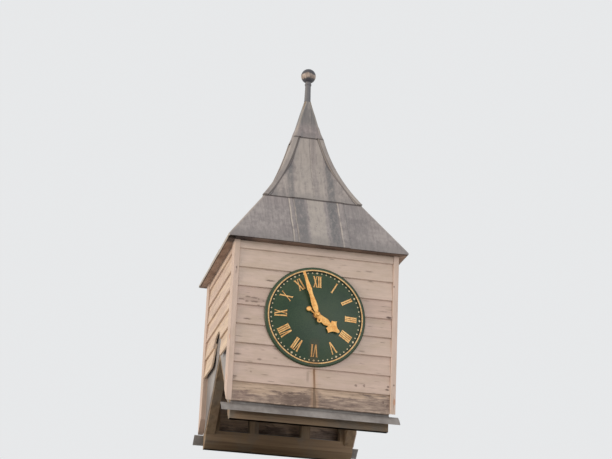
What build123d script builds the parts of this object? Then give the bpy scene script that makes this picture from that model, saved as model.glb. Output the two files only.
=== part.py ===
from build123d import *
import os
from math import cos, radians, sin, sqrt, tan

# A boarded clock turret that stands astride a roof ridge, with a bell-cast lead spire.
# Millimetres. The origin is the middle of the base on the level seat of the two sills,
# +Z up, the dial on the -Y side and the ridge along X.

# Plan
WIDTH = 914.0                # over the corner boards, both ways
CORNER_THICK = 30.0          # corner board thickness, the edge that shows on the front
CORNER_WIDE = 75.0           # corner board face on the sides
POST = 75.0                  # square posts, and the width of the sills and head plates

# Saddle base over the ridge
ROOF_PITCH = 45.0            # degrees
TILE_DEPTH = 80.0            # tiles and battens, measured upright over the rafters
SILL_HEIGHT = 100.0
SEAT = 35.0                  # level seat under each sill, inside it the sill is bevelled
RAKE_THICK = 50.0
RAKE_DEPTH = 75.0            # square to the slope
RIDGE_TILE_RADIUS = 100.0
RIDGE_TILE_RISE = 55.0       # crest of the ridge tile over the point where the slopes meet
ROOF_GAP = 37.0              # side boards stop this far above the tiles
RIDGE_GAP = 12.0             # and this far from the ridge tiles

# Walls
APRON_SHOWS = 13.0           # upright lead that shows below the lowest front board
BOARD_EXPOSURE = 104.8       # from one board's lower edge to the next
BOARD_COUNT = 8              # whole boards under the cut one at the eaves
BOARD_BUTT = 26.0            # lower edge of a board, out from the frame
BOARD_HEAD = 16.0            # where it passes under the next one
SIDE_BOARD_COUNT = 5         # whole boards on the side walls
EAVES_BOARD = 43.6           # part of the top board that shows
STUD = 50.0
STUD_OFFSET = 150.0          # studs from the middle of each wall

# Eaves and spire
SOFFIT_THICK = 18.0
SOFFIT_EDGE = 8.0            # soffit edge inside the lead edge
PLATE_DEPTH = 75.0
EAVES_OVERHANG = 43.0        # lead edge beyond the corner boards
EAVES_LIFT = 14.0            # the slope starts this far over the soffit's underside
LEAD_DROP = 10.0             # turned-down edge of the lead
LOWER_PITCH = 55.8           # degrees
FOOT_RUN = 221.0             # straight foot of the slope, measured level
CROWN_HALF = 84.0            # half the width where the curve ends
UPPER_PITCH = 76.5           # degrees
SPIRE_TOP_HALF = 20.0        # half the width where the neck stands on the spire
BOARDING = 20.0
LEAD = 3.0
LAP = 75.0                   # each tier over the one below
UPPER_LAP_RISE = 12.0        # upper lap over the end of the curve
CAPPING_WIDE = 30.0          # hip capping on each face
CAPPING_THICK = 5.0
SHEET_LEFT = 112.0           # the middle sheet of each lower face, from its middle line
SHEET_RIGHT = 168.0
RIB = 45.0
RIB_DEPTH = 80.0
RIB_ROOM = 5.0               # between the hip ribs and the ends of the face ribs
FACE_RIB_SHARE = 0.35        # top of the face ribs, as a share of the curve's height
TIE_DEPTH = 70.0
MAST = 60.0

# Finial
NECK_HEIGHT = 130.0
NECK_RADIUS = 18.5
NECK_TOP_RADIUS = 16.5
COLLAR_PROUD = 3.0
COLLAR_HEIGHT = 12.0
BALL_RADIUS = 43.5
BALL_SEAT_RADIUS = 17.0

# Lead at the foot of the walls
APRON_SLOPE = 68.0           # length down the tiles
APRON_OUT = 23.0             # beyond the corner boards at each end
APRON_UP = 32.0              # behind the lowest board
FLASHING_UP = 32.0           # behind the side boards
FLASHING_DOWN = 45.0         # below the tile surface

# Dial
DIAL_RISE = 492.0            # centre over the lowest board's edge
DIAL_RADIUS = 276.0
RIM_THICK = 8.0              # from the boards to the field's edge
FIELD_THICK = 3.0
FIELD_RISE = 28.0            # crown of the domed field over its edge
RIM_INNER = 252.0
RIM_PROUD = 4.0              # rim over the field
RIM_ROUND = 8.0
RING_INNER = 253.5
RING_OUTER = 260.0
RING_THICK = 4.0
GILT = 2.0                   # thickness of the dots and numerals
DOT_CIRCLE = 242.0
DOT_RADIUS = 3.8
DOT_SIDES = 10
HOUR_DOT_HALF = 6.8          # half the diagonal of the diamonds at the hours
NUMERAL_FOOT = 158.5         # feet of the numerals, from the centre
NUMERAL_HEIGHT = 65.5
STROKE = 7.2
HAIRLINE = 4.2
SERIF = 2.8
SERIF_PROUD = 1.8
LETTER_PITCH = 10.2          # one upright to the next, their serifs joined
LETTER_WIDE = 19.0           # V and X
LETTER_SPREAD = 12.5         # shared between the letters of a numeral, so that short ones are wider

# Hands and their spindles
BUSH_RADIUS = 13.0
BUSH_FLANGE = 24.0
BUSH_PROUD = 3.0             # flange and end of the bush over the crown of the field
BUSH_INSIDE = 60.0           # behind the frame's face
PIPE_RADIUS = 9.0
ARBOR_RADIUS = 5.0
RUNNING_FIT = 0.05
HAND_GAP = 5.5               # bush to hour hand
HAND_PITCH = 13.5            # back of the hour hand to back of the minute hand
HAND_EDGE = 2.2              # thickness at the edge
HAND_RIDGE = 4.6             # thickness at the central ridge
HOUR_LENGTH = 152.0
HOUR_NECK_HALF = 12.0
HOUR_SWELL_AT = 61.0         # widest place of the blade
HOUR_SWELL_HALF = 19.0
HOUR_WAIST_AT = 84.0
HOUR_WAIST_HALF = 11.5
HOUR_BARB_AT = 82.0          # back corners of the cross, swept back past the waist
HOUR_BARB_HALF = 27.0
HOUR_CROSS_AT = 105.0
HOUR_CROSS_HALF = 41.0
CROSS_HOLLOW = 2.5           # how far the ends of the cross curve in
POINT_HOLLOW = 8.0           # how far the sides curve in from the cross to the point
HOUR_POINT_HALF = 8.0
HOUR_POINT = 5.0
HOUR_HUB = 18.0
HOUR_TAIL_WIDE = 9.0
HOUR_TAIL = 53.0
TAIL_DISC_RADIUS = 14.0
TAIL_DISC_THICK = 12.0
TAIL_DISC_ROUND = 5.4
HOUR_ANGLE = 124.0           # degrees clockwise from twelve, as the hands stand
MINUTE_LENGTH = 244.0
MINUTE_TIP_HALF = 6.5
MINUTE_NARROW_AT = 190.0     # distances of the swellings and waists from the centre
MINUTE_NARROW_HALF = 8.0
MINUTE_OUTER_AT = 144.0
MINUTE_OUTER_HALF = 13.0
MINUTE_WAIST_AT = 104.0
MINUTE_WAIST_HALF = 10.5
MINUTE_INNER_AT = 62.0
MINUTE_INNER_HALF = 14.5
MINUTE_NECK_AT = 22.0
MINUTE_NECK_HALF = 11.5
MINUTE_HUB = 15.0
MINUTE_TAIL = 34.0
MINUTE_RING_RADIUS = 13.0
MINUTE_RING_HOLE = 5.0
MINUTE_ANGLE = -19.7
NUT_RADIUS = 11.0
NUT_THICK = 10.0
BEARER_HEIGHT = 100.0
BEARER_DEPTH = 45.0

# Planes worked out from the sizes above
HALF = WIDTH / 2
FRAME = HALF - CORNER_THICK
INNER = FRAME - POST
SLOPE = tan(radians(ROOF_PITCH))
BOARD_FOOT = TILE_DEPTH - LEAD * SLOPE + APRON_SHOWS
WALL_TOP = BOARD_FOOT + BOARD_COUNT * BOARD_EXPOSURE + EAVES_BOARD
SIDE_START = BOARD_FOOT + (BOARD_COUNT - SIDE_BOARD_COUNT) * BOARD_EXPOSURE
PLATE_TOP = WALL_TOP + PLATE_DEPTH
SOFFIT_TOP = WALL_TOP + SOFFIT_THICK
EAVES_HALF = HALF + EAVES_OVERHANG
EAVES_Z = WALL_TOP + EAVES_LIFT
RAKE_RISE = RAKE_DEPTH / cos(radians(ROOF_PITCH))
DIAL_Z = BOARD_FOOT + DIAL_RISE
DIAL_BACK = FRAME + BOARD_BUTT
FIELD_EDGE = DIAL_BACK + RIM_THICK
RIM_FACE = FIELD_EDGE + RIM_PROUD
CROWN = FIELD_EDGE + FIELD_RISE
FIELD_RADIUS = (RIM_INNER ** 2 + FIELD_RISE ** 2) / (2 * FIELD_RISE)
BUSH_END = CROWN + BUSH_PROUD
HOUR_BACK = BUSH_END + HAND_GAP
MINUTE_BACK = HOUR_BACK + HAND_PITCH

# Bell-cast curve of the spire: a straight foot, an arc and a straight top
LOW = radians(LOWER_PITCH)
HIGH = radians(UPPER_PITCH)
KNEE_HALF = EAVES_HALF - FOOT_RUN
KNEE_Z = EAVES_Z + FOOT_RUN * tan(LOW)
CURVE_RADIUS = (KNEE_HALF - CROWN_HALF) / (sin(HIGH) - sin(LOW))
CENTRE_HALF = KNEE_HALF + CURVE_RADIUS * sin(LOW)
CENTRE_Z = KNEE_Z + CURVE_RADIUS * cos(LOW)
CURVE_TOP_Z = CENTRE_Z - CURVE_RADIUS * cos(HIGH)
UPPER_LAP_Z = CURVE_TOP_Z + UPPER_LAP_RISE
NECK_Z = CURVE_TOP_Z + (CROWN_HALF - SPIRE_TOP_HALF) * tan(HIGH)
NECK_TOP_Z = NECK_Z + NECK_HEIGHT
UNDER_BOARDS = LEAD + BOARDING
FACE_RIB_TOP = KNEE_Z + FACE_RIB_SHARE * (CURVE_TOP_Z - KNEE_Z)
FACE_RIB_CLEAR = RIB * (1 / 2 + sqrt(1 / 2)) + RIB_ROOM


def block(x, y, z):
    """A box between two limits on each axis."""
    size = Box(x[1] - x[0], y[1] - y[0], z[1] - z[0], align=(Align.MIN, Align.MIN, Align.MIN))
    return Pos(x[0], y[0], z[0]) * size


def prism_x(points, x):
    """A (y, z) outline carried along X."""
    return extrude(Plane.YZ.offset(x[0]) * Polygon(*points, align=None), amount=x[1] - x[0], dir=(1, 0, 0))


def prism_y(points, y):
    """An (x, z) outline carried along Y."""
    return extrude(Plane.XZ.offset(-y[0]) * Polygon(*points, align=None), amount=y[1] - y[0], dir=(0, 1, 0))


def prism_z(points, z):
    """An (x, y) outline carried along Z."""
    return extrude(Plane.XY.offset(z[0]) * Polygon(*points, align=None), amount=z[1] - z[0], dir=(0, 0, 1))


def turned(shape, quarter):
    """The shape carried round the middle by quarter turns."""
    return Rot(0, 0, 90 * quarter) * shape


def rafter_z(y):
    return (FRAME - abs(y)) * SLOPE


def tile_z(y):
    return rafter_z(y) + TILE_DEPTH


def below_slope(clearance, reach=WIDTH):
    """Everything under the roof slopes, raised by a clearance, right across the turret."""
    foot = -WIDTH
    points = [(-reach, foot), (-reach, tile_z(reach) + clearance), (0, tile_z(0) + clearance),
              (reach, tile_z(reach) + clearance), (reach, foot)]
    return prism_x(points, (-WIDTH, WIDTH))


def ridge_tiles(clearance):
    centre = tile_z(0) + RIDGE_TILE_RISE - RIDGE_TILE_RADIUS
    disc = Circle(RIDGE_TILE_RADIUS + clearance)
    return extrude(Plane.YZ.offset(-WIDTH) * (Pos(0, centre) * disc), amount=2 * WIDTH)


# Framing


def sill():
    """Front sill: level seat, bevelled inside to lie on the rafters."""
    inside = -INNER
    bevel = (POST - SEAT) * SLOPE
    points = [(-FRAME, 0), (-FRAME + SEAT, 0), (inside, bevel), (inside, SILL_HEIGHT), (-FRAME, SILL_HEIGHT)]
    return prism_x(points, (-FRAME, FRAME))


def sole_rakes():
    """The front pair of raking sole plates, from the posts up to the ridge."""
    points = [(-INNER, rafter_z(INNER)), (0, rafter_z(0)), (0, rafter_z(0) + RAKE_RISE),
              (-INNER, rafter_z(INNER) + RAKE_RISE)]
    left = prism_x(points, (-FRAME, -FRAME + RAKE_THICK))
    right = prism_x(points, (FRAME - RAKE_THICK, FRAME))
    return Compound([left, right])


def post(side_x, side_y):
    x = sorted((side_x * FRAME, side_x * INNER))
    y = sorted((side_y * FRAME, side_y * INNER))
    return block(x, y, (SILL_HEIGHT, WALL_TOP))


def front_plate():
    return block((-FRAME, FRAME), (-FRAME, -INNER), (WALL_TOP, PLATE_TOP))


def left_plate():
    return block((-FRAME, -INNER), (-INNER, INNER), (WALL_TOP, PLATE_TOP))


def studs():
    """Two studs in each wall, on the sills at front and back and on the rakes at the sides."""
    made = []
    for side in (-1, 1):
        x = (side * STUD_OFFSET - STUD / 2, side * STUD_OFFSET + STUD / 2)
        upright = block(x, (-FRAME, -INNER), (SILL_HEIGHT, WALL_TOP))
        made += [upright, turned(upright, 2)]
        low, high = x
        points = [(low, rafter_z(low) + RAKE_RISE), (high, rafter_z(high) + RAKE_RISE), (high, WALL_TOP),
                  (low, WALL_TOP)]
        raked = prism_x(points, (-FRAME, -FRAME + RAKE_THICK))
        made += [raked, turned(raked, 2)]
    return Compound(made)


def dial_bearer():
    """Rail between the front studs that the centre bush passes through."""
    reach = STUD_OFFSET - STUD / 2
    z = (DIAL_Z - BEARER_HEIGHT / 2, DIAL_Z + BEARER_HEIGHT / 2)
    rail = block((-reach, reach), (-FRAME, -FRAME + BEARER_DEPTH), z)
    return rail - spindle_rod(BUSH_RADIUS, FRAME - BEARER_DEPTH, FRAME)


def tie_beam():
    """Beam across the plates that the mast stands on."""
    return block((-INNER, INNER), (-PLATE_DEPTH / 2, PLATE_DEPTH / 2), (PLATE_TOP - TIE_DEPTH, PLATE_TOP))


# Boarded walls


def board_profile(start, top):
    """Outline of lapped boards: distance out from the frame against height."""
    points = [(0, start)]
    z = start
    fall = (BOARD_BUTT - BOARD_HEAD) / BOARD_EXPOSURE
    while z < top:
        head = min(z + BOARD_EXPOSURE, top)
        points += [(BOARD_BUTT, z), (BOARD_BUTT - fall * (head - z), head)]
        z = head
    return points + [(0, top)]


def front_wall(pierced):
    points = [(-FRAME - out, z) for out, z in board_profile(BOARD_FOOT, WALL_TOP)]
    wall = prism_x(points, (-FRAME, FRAME)) - apron()
    if pierced:
        wall -= spindle_rod(BUSH_RADIUS, 0, WIDTH)
    return wall


def left_wall():
    """Side wall: ends level above the slope and is cut round the ridge tiles."""
    edge = HALF - CORNER_WIDE
    points = [(-FRAME - out, z) for out, z in board_profile(SIDE_START, WALL_TOP)]
    wall = prism_y(points, (-edge, edge))
    return wall - below_slope(ROOF_GAP) - ridge_tiles(RIDGE_GAP) - left_flashing()


def corner_boards():
    """Four boards, fixed on the sides, cut to the roof slope from the foot of the front boards up."""
    clearance = BOARD_FOOT - tile_z(HALF)
    made = []
    for side_x in (-1, 1):
        for side_y in (-1, 1):
            x = sorted((side_x * FRAME, side_x * HALF))
            y = sorted((side_y * (HALF - CORNER_WIDE), side_y * HALF))
            board = block(x, y, (0, WALL_TOP)) - below_slope(clearance)
            made.append(board)
    return Compound(made)


# Lead at the foot of the walls


def apron():
    """Lead apron: an upstand behind the lowest board and a skirt down the tiles."""
    bend_y = FRAME + LEAD
    bend_z = tile_z(bend_y)
    pitch = radians(ROOF_PITCH)
    tip_y = bend_y + APRON_SLOPE * cos(pitch)
    tip_z = bend_z - APRON_SLOPE * sin(pitch)
    thick = LEAD / cos(pitch)
    skirt = [(-bend_y, bend_z), (-bend_y, bend_z + thick), (-tip_y, tip_z + thick), (-tip_y, tip_z)]
    reach = HALF + APRON_OUT
    upstand = block((-FRAME, FRAME), (-bend_y, -FRAME), (bend_z, BOARD_FOOT + APRON_UP))
    return upstand + prism_x(skirt, (-reach, reach))


def left_flashing():
    """Lead upstand along the slope, tucked behind the side boards."""
    edge = HALF - CORNER_WIDE
    sheet = block((-FRAME - LEAD, -FRAME), (-edge, edge), (0, SIDE_START + FLASHING_UP))
    raised = below_slope(ROOF_GAP + FLASHING_UP) + ridge_tiles(RIDGE_GAP + FLASHING_UP)
    face = block((-FRAME - LEAD, -FRAME), (-edge, edge), (0, WALL_TOP))
    return (sheet + (raised & face)) - below_slope(-FLASHING_DOWN)


# Spire


def spire_outline(inset, foot, top):
    """Section of the spire set in from the face of the lead, mirrored about its axis."""
    knee = (KNEE_HALF - inset * sin(LOW), KNEE_Z - inset * cos(LOW))
    crown = (CROWN_HALF - inset * sin(HIGH), CURVE_TOP_Z - inset * cos(HIGH))
    middle = (LOW + HIGH) / 2
    radius = CURVE_RADIUS + inset
    bend = (CENTRE_HALF - radius * sin(middle), CENTRE_Z - radius * cos(middle))
    eaves = EAVES_HALF - inset
    eaves_z = EAVES_Z - inset * cos(LOW) + tan(LOW) * inset * (1 - sin(LOW))
    tip = (crown[0] - (top - crown[1]) / tan(HIGH), top)
    edges = [Line((-eaves, foot), (eaves, foot)), Line(tip, (-tip[0], top))]
    for side in (-1, 1):
        low, turn, high = [(side * point[0], point[1]) for point in (knee, bend, crown)]
        edges += [Line((side * eaves, foot), (side * eaves, eaves_z)), Line((side * eaves, eaves_z), low),
                  ThreePointArc(low, turn, high), Line(high, (side * tip[0], top))]
    return make_face(Wire(edges))


def spire_prism(inset, top, along_x):
    outline = spire_outline(inset, WALL_TOP - PLATE_DEPTH, top)
    plane = Plane.YZ if along_x else Plane.XZ
    return extrude(plane * outline, amount=WIDTH, both=True)


def spire_body(inset, top=NECK_Z):
    """Solid square bell-cast form: two prisms crossed."""
    return spire_prism(inset, top, True) & spire_prism(inset, top, False)


def between(shape, low, high):
    return shape & block((-WIDTH, WIDTH), (-WIDTH, WIDTH), (low, high))


OPEN_TOP = NECK_Z + LEAD
OUTER = spire_body(0)
BOARD_FACE = spire_body(LEAD, OPEN_TOP)
BOARD_BACK = spire_body(UNDER_BOARDS, OPEN_TOP)
HEAD_Z = CURVE_TOP_Z - UNDER_BOARDS * cos(HIGH) + (CROWN_HALF - UNDER_BOARDS * sin(HIGH) - MAST / 2) * tan(HIGH)


def boarding(quarter):
    """Boards on one face of the spire, mitred at the hips."""
    shell = between(BOARD_FACE - BOARD_BACK, SOFFIT_TOP, HEAD_Z)
    wedge = prism_z([(0, 0), (-WIDTH, -WIDTH), (WIDTH, -WIDTH)], (SOFFIT_TOP, HEAD_Z))
    return shell & turned(wedge, quarter)


def mast():
    """Post on the tie beam with a head shaped to the top of the spire."""
    half = MAST / 2
    shaft = block((-half, half), (-half, half), (PLATE_TOP, HEAD_Z))
    return shaft + between(BOARD_FACE, HEAD_Z, NECK_Z)


def ribs(angle, top, clear):
    """Four curved ribs under the boarding, a quarter turn apart, stopped short of the axis."""
    inside = spire_body(UNDER_BOARDS + RIB_DEPTH, OPEN_TOP)
    band = between(BOARD_BACK - inside, PLATE_TOP, top)
    core = block((-clear, clear), (-clear, clear), (PLATE_TOP, top))
    slab = block((-RIB / 2, RIB / 2), (-WIDTH, 0), (PLATE_TOP, top))
    return Compound([((Rot(0, 0, angle + 90 * quarter) * slab) & band) - core for quarter in range(4)])


def lower_lead():
    """Lower tier with a turned-down edge, its middle sheets lapped over the ones at the corners."""
    foot = EAVES_Z - LEAD_DROP
    shell = between(OUTER - BOARD_FACE, foot, KNEE_Z + LAP)
    sheet = block((-SHEET_LEFT, SHEET_RIGHT), (-WIDTH, 0), (EAVES_Z, KNEE_Z))
    proud = between(spire_body(-LEAD) - OUTER, EAVES_Z, KNEE_Z)
    for quarter in range(4):
        shell += proud & turned(sheet, quarter)
    return shell & block((-EAVES_HALF, EAVES_HALF), (-EAVES_HALF, EAVES_HALF), (foot, KNEE_Z + LAP))


def lapped_tier(low, high):
    """A tier that laps over the one below and is dressed in to the boards above the lap."""
    lap_top = low + LAP
    proud = between(spire_body(-LEAD) - OUTER, low, lap_top + LEAD)
    return proud + between(OUTER - BOARD_FACE, lap_top, high)


def middle_lead():
    return lapped_tier(KNEE_Z, UPPER_LAP_Z + LAP)


def upper_lead():
    return lapped_tier(UPPER_LAP_Z, NECK_Z)


def hip_cappings():
    """Strips dressed over the four hips of the middle tier."""
    under = between(spire_body(-LEAD), KNEE_Z, KNEE_Z + LAP + LEAD) + between(OUTER, KNEE_Z, UPPER_LAP_Z)
    strips = between(spire_body(-LEAD - CAPPING_THICK), KNEE_Z, UPPER_LAP_Z) - under
    inset = CAPPING_WIDE * sin(HIGH)
    return strips - spire_prism(inset, OPEN_TOP, True) - spire_prism(inset, OPEN_TOP, False)


def soffit(quarter):
    """Soffit board mitred to its neighbours, the front left corner left open."""
    edge = EAVES_HALF - SOFFIT_EDGE
    points = [(-FRAME, -FRAME), (-edge, -edge), (edge, -edge), (FRAME, -FRAME)]
    gap = block((-edge, -HALF), (-edge, -HALF), (WALL_TOP, SOFFIT_TOP))
    return turned(prism_z(points, (WALL_TOP, SOFFIT_TOP)), quarter) - gap


# Finial


def finial_neck():
    """Turned neck with a foot ring and a collar under the ball."""
    collar = NECK_TOP_RADIUS + COLLAR_PROUD
    low = NECK_TOP_Z - 2 * COLLAR_HEIGHT
    with BuildPart() as made:
        with BuildSketch(Plane.XZ):
            with BuildLine():
                Polyline((0, NECK_Z), (SPIRE_TOP_HALF, NECK_Z), (SPIRE_TOP_HALF, NECK_Z + COLLAR_HEIGHT / 2),
                         (NECK_RADIUS, NECK_Z + COLLAR_HEIGHT), (NECK_TOP_RADIUS, low))
                Line((NECK_TOP_RADIUS, low), (collar, low + COLLAR_HEIGHT / 3))
                Line((collar, low + COLLAR_HEIGHT / 3), (collar, low + COLLAR_HEIGHT))
                Polyline((collar, low + COLLAR_HEIGHT), (NECK_TOP_RADIUS, low + 4 * COLLAR_HEIGHT / 3),
                         (NECK_TOP_RADIUS, NECK_TOP_Z), (0, NECK_TOP_Z), (0, NECK_Z))
            make_face()
        revolve(axis=Axis.Z)
    return made.part


def finial_ball():
    rise = sqrt(BALL_RADIUS ** 2 - BALL_SEAT_RADIUS ** 2)
    ball = Pos(0, 0, NECK_TOP_Z + rise) * Sphere(BALL_RADIUS)
    return ball & block((-WIDTH, WIDTH), (-WIDTH, WIDTH), (NECK_TOP_Z, NECK_TOP_Z + 3 * BALL_RADIUS))


# Dial


def dial_plane(out):
    """Plane facing the onlooker, a given distance in front of the middle of the turret."""
    return Plane(origin=(0, -out, DIAL_Z), x_dir=(1, 0, 0), z_dir=(0, -1, 0))


def spindle_rod(radius, start, end):
    """Round bar on the dial's axis between two distances from the middle of the turret."""
    return extrude(dial_plane(start) * Circle(radius), amount=end - start)


def field_ball(lift):
    """Ball whose front cap is the domed field, or a surface at a distance over it."""
    return Pos(0, FIELD_RADIUS - CROWN, DIAL_Z) * Sphere(FIELD_RADIUS + lift)


def dial_plate():
    """Convex plate: a domed sheet inside a raised, rounded rim."""
    rim = spindle_rod(DIAL_RADIUS, DIAL_BACK, RIM_FACE)
    edge = rim.edges().group_by(Axis.Y)[0]
    rim = fillet(edge, RIM_ROUND) - spindle_rod(RIM_INNER, DIAL_BACK, RIM_FACE)
    field = spindle_rod(RIM_INNER, DIAL_BACK, CROWN) & field_ball(0)
    return rim + (field - field_ball(-FIELD_THICK) - spindle_rod(BUSH_RADIUS, DIAL_BACK, CROWN))


def gilded(outlines):
    """Raised gilt marks of an even thickness, following the dome."""
    skin = field_ball(GILT) - field_ball(0)
    marks = extrude(dial_plane(FIELD_EDGE) * (Sketch() + outlines), amount=FIELD_RISE + GILT)
    return (marks & skin).solids()


def minute_ring():
    """Gilt ring on the rim, and inside it a dot for each minute and a diamond for each hour."""
    diamond = HOUR_DOT_HALF * sqrt(2)
    front = RIM_FACE + RING_THICK
    ring = spindle_rod(RING_OUTER, RIM_FACE, front) - spindle_rod(RING_INNER, RIM_FACE, front)
    marks = []
    for minute in range(60):
        mark = RegularPolygon(DOT_RADIUS, DOT_SIDES) if minute % 5 else Rot(0, 0, 45) * Rectangle(diamond, diamond)
        marks.append(Rot(0, 0, -6 * minute) * Pos(0, DOT_CIRCLE) * mark)
    return Compound([ring] + list(gilded(marks)))


def upright_stroke(x):
    stem = Pos(x, NUMERAL_HEIGHT / 2) * Rectangle(STROKE, NUMERAL_HEIGHT)
    return stem + serif(x, 0, STROKE) + serif(x, NUMERAL_HEIGHT, STROKE)


def serif(x, height, stroke):
    inward = SERIF / 2 if height == 0 else -SERIF / 2
    return Pos(x, height + inward) * Rectangle(stroke + 2 * SERIF_PROUD, SERIF)


def slanted_stroke(low, high, stroke):
    half = stroke / 2
    points = [(low - half, 0), (low + half, 0), (high + half, NUMERAL_HEIGHT), (high - half, NUMERAL_HEIGHT)]
    return Polygon(*points, align=None)


def letter_five(x, wide):
    half = (wide - STROKE) / 2
    thick = slanted_stroke(x, x - half, STROKE)
    thin = slanted_stroke(x + STROKE / 2 - HAIRLINE / 2, x + half, HAIRLINE)
    return thick + thin + serif(x - half, NUMERAL_HEIGHT, STROKE) + serif(x + half, NUMERAL_HEIGHT, HAIRLINE)


def letter_ten(x, wide):
    half = (wide - STROKE) / 2
    letter = slanted_stroke(x + half, x - half, STROKE) + slanted_stroke(x - half, x + half, HAIRLINE)
    for height in (0, NUMERAL_HEIGHT):
        lean = half if height == 0 else -half
        letter += serif(x + lean, height, STROKE) + serif(x - lean, height, HAIRLINE)
    return letter


def numeral(word):
    """One numeral, centred on the hour, its letters joined where their serifs meet."""
    wide = LETTER_WIDE + LETTER_SPREAD / len(word)
    pitches = [LETTER_PITCH if letter == "I" else wide + LETTER_PITCH / 3 for letter in word]
    x = -sum(pitches) / 2
    outline = Sketch()
    for letter, pitch in zip(word, pitches):
        middle = x + pitch / 2
        if letter == "I":
            outline += upright_stroke(middle)
        else:
            outline += letter_five(middle, wide) if letter == "V" else letter_ten(middle, wide)
        x += pitch
    return outline


def numerals():
    """Twelve gilt numerals, feet to the centre, four written with four strokes."""
    words = ["XII", "I", "II", "III", "IIII", "V", "VI", "VII", "VIII", "IX", "X", "XI"]
    marks = [Rot(0, 0, -30 * hour) * Pos(0, NUMERAL_FOOT) * numeral(word) for hour, word in enumerate(words)]
    return Compound(list(gilded(marks)))


# Hands and spindles


def dial_bush():
    """Fixed tube through the wall with a flange on the dial."""
    tube = spindle_rod(BUSH_RADIUS, FRAME - BUSH_INSIDE, BUSH_END)
    flange = spindle_rod(BUSH_FLANGE, FIELD_EDGE, BUSH_END) - field_ball(0)
    return tube + flange - spindle_rod(PIPE_RADIUS + RUNNING_FIT, 0, WIDTH)


def hour_pipe():
    pipe = spindle_rod(PIPE_RADIUS, FRAME - BUSH_INSIDE, HOUR_BACK)
    return pipe - spindle_rod(ARBOR_RADIUS + RUNNING_FIT, 0, WIDTH)


def minute_arbor():
    """Arbor through the hour pipe with a domed nut in front of the hand."""
    front = MINUTE_BACK + HAND_RIDGE
    rod = spindle_rod(ARBOR_RADIUS, FRAME - BUSH_INSIDE, front)
    nut = spindle_rod(NUT_RADIUS, front, front + NUT_THICK)
    nut = fillet(nut.edges().group_by(Axis.Y)[0], NUT_THICK / 2)
    return rod + nut


def ridged(outline, back, angle):
    """A hand cut from plate that is thickest along its middle line."""
    plate = extrude(dial_plane(back) * (Rot(0, 0, -angle) * outline), amount=HAND_RIDGE)
    reach = 2 * HOUR_CROSS_HALF
    length = MINUTE_LENGTH + HOUR_LENGTH
    slope = (HAND_RIDGE - HAND_EDGE) / HOUR_HUB
    edge = HAND_RIDGE - slope * HOUR_HUB
    points = [(-reach, -1), (-reach, edge), (-HOUR_HUB, edge), (0, HAND_RIDGE), (HOUR_HUB, edge), (reach, edge),
              (reach, -1)]
    roof = extrude(Plane.XZ * Polygon(*points, align=None), amount=length, both=True)
    place = Location(dial_plane(back)) * Location((0, 0, 0), (0, 0, -angle))
    return plate & (place * roof)


def hour_outline():
    """Swelling blade, waist, swept cross with hollow sides, point, hub and tail bar."""
    neck = (HOUR_NECK_HALF, 0)
    swell = (HOUR_SWELL_HALF, HOUR_SWELL_AT)
    waist = (HOUR_WAIST_HALF, HOUR_WAIST_AT)
    barb = (HOUR_BARB_HALF, HOUR_BARB_AT)
    cross = (HOUR_CROSS_HALF, HOUR_CROSS_AT)
    shoulder = (HOUR_POINT_HALF, HOUR_LENGTH - HOUR_POINT)
    tip = (0, HOUR_LENGTH)
    side = [Line((0, 0), neck), Line(neck, swell), Line(swell, waist), Line(waist, barb),
            SagittaArc(barb, cross, CROSS_HOLLOW), SagittaArc(cross, shoulder, POINT_HOLLOW), Line(shoulder, tip),
            Line(tip, (0, 0))]
    half = make_face(Wire(side))
    outline = half + mirror(half, about=Plane.YZ)
    tail = Pos(0, -HOUR_TAIL / 2) * Rectangle(HOUR_TAIL_WIDE, HOUR_TAIL)
    return outline + Circle(HOUR_HUB) + tail


def hour_hand():
    hand = ridged(hour_outline(), HOUR_BACK, HOUR_ANGLE)
    place = Rot(0, 0, -HOUR_ANGLE) * Pos(0, -HOUR_TAIL)
    middle = HOUR_BACK + HAND_RIDGE / 2
    disc = extrude(dial_plane(middle - TAIL_DISC_THICK / 2) * (place * Circle(TAIL_DISC_RADIUS)),
                   amount=TAIL_DISC_THICK)
    disc = fillet(disc.edges().filter_by(GeomType.CIRCLE), TAIL_DISC_ROUND)
    return hand + disc - spindle_rod(ARBOR_RADIUS + RUNNING_FIT, 0, WIDTH)


def minute_outline():
    """Long blade with two swellings, hub and a short ring tail."""
    neck = (MINUTE_NECK_HALF, MINUTE_NECK_AT)
    inner = (MINUTE_INNER_HALF, MINUTE_INNER_AT)
    waist = (MINUTE_WAIST_HALF, MINUTE_WAIST_AT)
    outer = (MINUTE_OUTER_HALF, MINUTE_OUTER_AT)
    narrow = (MINUTE_NARROW_HALF, MINUTE_NARROW_AT)
    tip = (MINUTE_TIP_HALF, MINUTE_LENGTH)
    side = [Line((0, 0), neck), Spline(neck, inner, waist, outer), Line(outer, narrow), Line(narrow, tip),
            Line(tip, (0, MINUTE_LENGTH)), Line((0, MINUTE_LENGTH), (0, 0))]
    half = make_face(Wire(side))
    tail = Pos(0, -MINUTE_TAIL / 2) * Rectangle(MINUTE_HUB, MINUTE_TAIL)
    ring = Pos(0, -MINUTE_TAIL) * Circle(MINUTE_RING_RADIUS)
    hole = Pos(0, -MINUTE_TAIL) * Circle(MINUTE_RING_HOLE)
    return half + mirror(half, about=Plane.YZ) + Circle(MINUTE_HUB) + tail + ring - hole


def minute_hand():
    hand = ridged(minute_outline(), MINUTE_BACK, MINUTE_ANGLE)
    return hand - spindle_rod(ARBOR_RADIUS, 0, WIDTH)


def save(name, shape):
    shape.label = name
    export_step(shape, "parts/" + name + ".step")


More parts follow.
